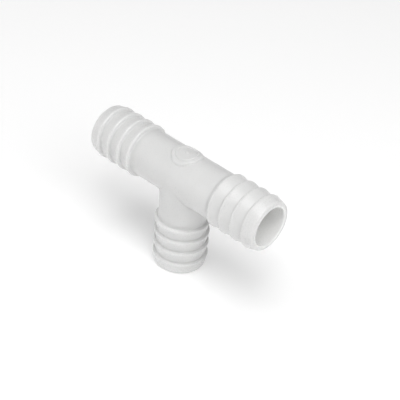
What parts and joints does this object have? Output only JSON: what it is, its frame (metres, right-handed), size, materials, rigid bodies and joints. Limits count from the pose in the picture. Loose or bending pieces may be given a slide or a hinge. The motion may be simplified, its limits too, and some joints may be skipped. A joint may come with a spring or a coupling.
{
  "type": "barbed tee connector",
  "caption": "Moulded plastic tee with three equal barbed spigots that joins three lengths of irrigation hose, open from end to end.",
  "frame": {"origin": "where the run axis and the branch axis cross, in the middle of the junction", "axes": "+X along the run towards the right spigot, -Z along the branch towards its tip, +Y completes the right-handed frame"},
  "size_m": [0.082, 0.0212, 0.0502],
  "materials": {
    "moulding": "natural white nylon, soft waxy sheen"
  },
  "bodies": {
    "root": {"junction_body": "moulding", "right_spigot": "moulding", "left_spigot": "moulding", "branch_spigot": "moulding"}
  },
  "joints": []
}
